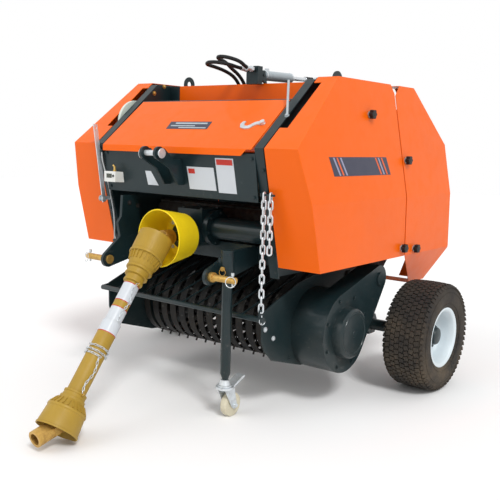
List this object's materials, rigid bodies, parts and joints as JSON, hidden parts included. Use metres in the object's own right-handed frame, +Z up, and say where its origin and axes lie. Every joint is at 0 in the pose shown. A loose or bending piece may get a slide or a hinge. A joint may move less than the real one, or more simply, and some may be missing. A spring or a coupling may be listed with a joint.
{
  "type": "round baler",
  "caption": "Small three-point round baler: fixed roller chamber under folded side covers, hinged tailgate, tined pickup, guarded drive shaft, twine box and castor jack.",
  "frame": {"origin": "middle of the machine's footprint, on the ground", "axes": "+X towards the machine's left, +Y towards its rear (the tailgate), +Z up"},
  "size_m": [1.405, 1.6634, 1.1991],
  "materials": {
    "orange_paint": "glossy orange paint",
    "frame_paint": "satin dark slate paint",
    "zinc": "zinc plated, slightly dull",
    "yellow_zinc": "yellow passivated steel",
    "bare_steel": "bare steel, light wear",
    "shield_plastic": "moulded yellow plastic",
    "guard_plastic": "moulded olive yellow plastic",
    "black_plastic": "moulded black plastic",
    "white_plastic": "moulded white plastic",
    "castor_plastic": "cast cream plastic",
    "rim_paint": "galvanised sheet, pale",
    "tyre_rubber": "matt rubber",
    "hose_rubber": "matt rubber",
    "cable_grey": "smooth grey sheath",
    "ram_paint": "silver grey paint",
    "chrome_rod": "polished"
  },
  "bodies": {
    "frame": {"frame_left": "frame_paint", "frame_right": "frame_paint", "axle": "frame_paint", "front_panel": "frame_paint", "hitch_frame": "frame_paint", "hitch_pins": "yellow_zinc", "top_link_pin": "zinc", "gearbox": "frame_paint", "input_yoke": "yellow_zinc", "drive_shield": "shield_plastic", "twine_box": "orange_paint", "box_brackets": "frame_paint", "chamber_rollers": "bare_steel", "cover_front_left": "orange_paint", "cover_front_right": "orange_paint", "cover_knobs_front": "black_plastic", "jack_sleeve": "frame_paint", "bale_counter": "white_plastic", "hand_lever": "zinc", "hose_left": "hose_rubber", "hose_right": "hose_rubber", "lift_chain": "zinc", "counter_cable": "cable_grey"},
    "tailgate": {"tailgate_frame": "frame_paint", "tailgate_rollers": "bare_steel", "cover_rear_left": "orange_paint", "cover_rear_right": "orange_paint", "cover_knobs_rear": "black_plastic"},
    "wheel_left": {"tyre_left": "tyre_rubber", "rim_left": "rim_paint"},
    "wheel_right": {"tyre_right": "tyre_rubber", "rim_right": "rim_paint"},
    "hood": {"hood": "orange_paint", "hood_latch": "zinc"},
    "jack": {"jack_leg": "frame_paint"},
    "castor": {"castor_fork": "zinc"},
    "castor_roll": {"castor_wheel": "castor_plastic"},
    "pickup": {"pickup_frame": "frame_paint", "wind_guard": "frame_paint", "stripper_bands": "frame_paint", "feed_pan": "frame_paint", "pickup_chaincase": "frame_paint"},
    "reel": {"pickup_reel": "bare_steel"},
    "disc": {"twine_disc": "white_plastic"},
    "barrel": {"ram_barrel": "ram_paint"},
    "piston": {"ram_rod": "chrome_rod"},
    "near_cross": {"joint_cross_near": "bare_steel"},
    "upper_shaft": {"shaft_upper": "yellow_zinc", "guard_upper": "guard_plastic"},
    "lower_shaft": {"shaft_lower": "yellow_zinc", "guard_lower": "guard_plastic"},
    "far_cross": {"joint_cross_far": "bare_steel"},
    "shaft_end": {"end_yoke": "yellow_zinc"}
  },
  "joints": [
    {"name": "wheel_left_spin", "type": "hinge", "parent": "frame", "child": "wheel_left", "pos_m": [0.62, 0.51975, 0.203], "axis": [1, 0, 0], "continuous": true},
    {"name": "wheel_right_spin", "type": "hinge", "parent": "frame", "child": "wheel_right", "pos_m": [-0.62, 0.51975, 0.203], "axis": [1, 0, 0], "continuous": true},
    {"name": "tailgate_lift", "type": "hinge", "parent": "frame", "child": "tailgate", "pos_m": [0, 0.48075, 1.085], "axis": [1, 0, 0], "range_deg": [0, 65]},
    {"name": "hood_lift", "type": "hinge", "parent": "frame", "child": "hood", "pos_m": [0, -0.02625, 1.043], "axis": [-1, 0, 0], "range_deg": [0, 60]},
    {"name": "jack_slide", "type": "slide", "parent": "frame", "child": "jack", "axis": [0, 0, 1], "range_m": [0, 0.18]},
    {"name": "castor_swivel", "type": "hinge", "parent": "jack", "child": "castor", "pos_m": [0.276, -0.24325, 0.15], "axis": [0, 0, 1], "continuous": true},
    {"name": "castor_spin", "type": "hinge", "parent": "castor", "child": "castor_roll", "pos_m": [0.276, -0.21325, 0.04], "axis": [1, 0, 0], "continuous": true},
    {"name": "pickup_lift", "type": "hinge", "parent": "frame", "child": "pickup", "pos_m": [0, 0.34872, 0.42094], "axis": [-1, 0, 0], "range_deg": [0, 8], "deforming": ["lift_chain"]},
    {"name": "reel_spin", "type": "hinge", "parent": "pickup", "child": "reel", "pos_m": [0, 0.12575, 0.262], "axis": [1, 0, 0], "continuous": true},
    {"name": "disc_spin", "type": "hinge", "parent": "frame", "child": "disc", "pos_m": [-0.402, -0.01425, 0.964], "axis": [1, 0, 0], "continuous": true},
    {"name": "ram_swing", "type": "hinge", "parent": "frame", "child": "barrel", "pos_m": [0.1, 0.12175, 1.142], "axis": [1, 0, 0], "range_deg": [-6.5, 0.5]},
    {"name": "ram_stroke", "type": "slide", "parent": "barrel", "child": "piston", "axis": [0, 0.9998, 0.022], "range_m": [-0.062, 0]},
    {"name": "shaft_lift", "type": "hinge", "parent": "frame", "child": "near_cross", "pos_m": [0, -0.29425, 0.572], "axis": [-1, 0, 0], "range_deg": [0, 60]},
    {"name": "shaft_swing", "type": "hinge", "parent": "near_cross", "child": "upper_shaft", "pos_m": [0, -0.29425, 0.572], "axis": [0, 0.7547, -0.6561], "range_deg": [-18, 28]},
    {"name": "shaft_telescope", "type": "slide", "parent": "upper_shaft", "child": "lower_shaft", "axis": [0.0837, -0.6538, -0.7521], "range_m": [0, 0.15]},
    {"name": "end_swing", "type": "hinge", "parent": "lower_shaft", "child": "far_cross", "pos_m": [0.05657, -0.73619, 0.06361], "axis": [0, 0.7547, -0.6561], "range_deg": [-15, 15]},
    {"name": "end_tilt", "type": "hinge", "parent": "far_cross", "child": "shaft_end", "pos_m": [0.05657, -0.73619, 0.06361], "axis": [-1, 0, 0], "range_deg": [-55, 2]}
  ],
  "couplings": [
    {"joint": "ram_swing", "follows": "tailgate_lift", "ratio": -0.0949},
    {"joint": "ram_stroke", "follows": "tailgate_lift", "m_per_rad": -0.0531}
  ]
}
